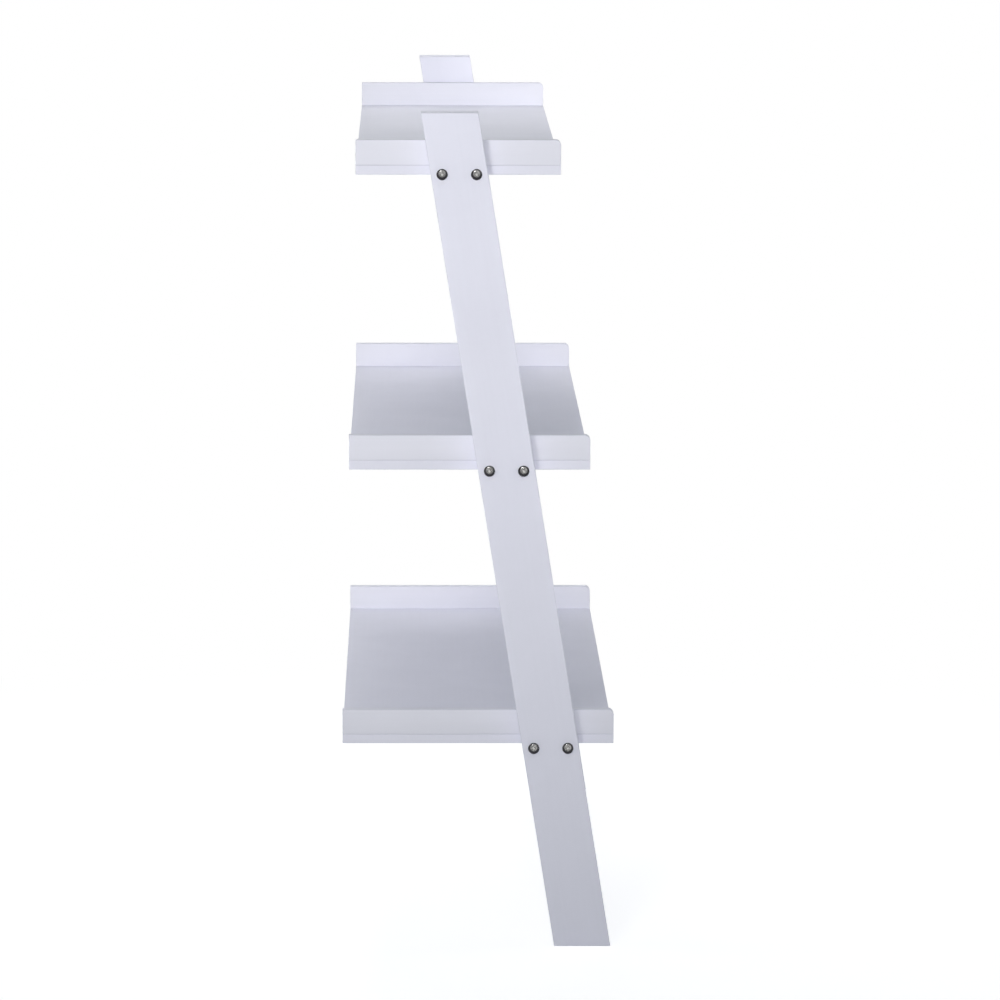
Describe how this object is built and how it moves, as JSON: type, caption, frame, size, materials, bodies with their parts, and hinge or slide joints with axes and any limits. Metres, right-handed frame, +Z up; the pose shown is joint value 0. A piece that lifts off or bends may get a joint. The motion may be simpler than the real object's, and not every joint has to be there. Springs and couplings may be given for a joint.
{
  "type": "leaning ladder shelf",
  "caption": "White leaning ladder shelf: stepped trays with raised end panels, bolted between slanting side rails.",
  "frame": {"origin": "on the floor, under the middle of the bottom tray, at the middle of the whole object's footprint", "axes": "+X along the trays towards the right rail as seen from the front, +Y towards the wall behind, +Z up"},
  "size_m": [0.8682, 0.292, 0.9],
  "materials": {
    "white_paint": "cool white satin paint on fibreboard and wood",
    "zinc_plating": "bright zinc plated steel",
    "beech_dowel": "bare beech"
  },
  "bodies": {
    "root": {"left_rail": "white_paint", "right_rail": "white_paint", "top_shelf_board": "white_paint", "top_bearer": "white_paint", "top_left_end_panel": "white_paint", "top_right_end_panel": "white_paint", "middle_shelf_board": "white_paint", "middle_bearer": "white_paint", "middle_left_end_panel": "white_paint", "middle_right_end_panel": "white_paint", "bottom_shelf_board": "white_paint", "bottom_bearer": "white_paint", "bottom_left_end_panel": "white_paint", "bottom_right_end_panel": "white_paint", "top_left_front_bolt": "zinc_plating", "top_left_front_barrel_nut": "zinc_plating", "top_left_front_dowel": "beech_dowel", "top_left_back_bolt": "zinc_plating", "top_left_back_barrel_nut": "zinc_plating", "top_left_back_dowel": "beech_dowel", "top_right_front_bolt": "zinc_plating", "top_right_front_barrel_nut": "zinc_plating", "top_right_front_dowel": "beech_dowel", "top_right_back_bolt": "zinc_plating", "top_right_back_barrel_nut": "zinc_plating", "top_right_back_dowel": "beech_dowel", "middle_left_front_bolt": "zinc_plating", "middle_left_front_barrel_nut": "zinc_plating", "middle_left_front_dowel": "beech_dowel", "middle_left_back_bolt": "zinc_plating", "middle_left_back_barrel_nut": "zinc_plating", "middle_left_back_dowel": "beech_dowel", "middle_right_front_bolt": "zinc_plating", "middle_right_front_barrel_nut": "zinc_plating", "middle_right_front_dowel": "beech_dowel", "middle_right_back_bolt": "zinc_plating", "middle_right_back_barrel_nut": "zinc_plating", "middle_right_back_dowel": "beech_dowel", "bottom_left_front_bolt": "zinc_plating", "bottom_left_front_barrel_nut": "zinc_plating", "bottom_left_front_dowel": "beech_dowel", "bottom_left_back_bolt": "zinc_plating", "bottom_left_back_barrel_nut": "zinc_plating", "bottom_left_back_dowel": "beech_dowel", "bottom_right_front_bolt": "zinc_plating", "bottom_right_front_barrel_nut": "zinc_plating", "bottom_right_front_dowel": "beech_dowel", "bottom_right_back_bolt": "zinc_plating", "bottom_right_back_barrel_nut": "zinc_plating", "bottom_right_back_dowel": "beech_dowel"}
  },
  "joints": []
}
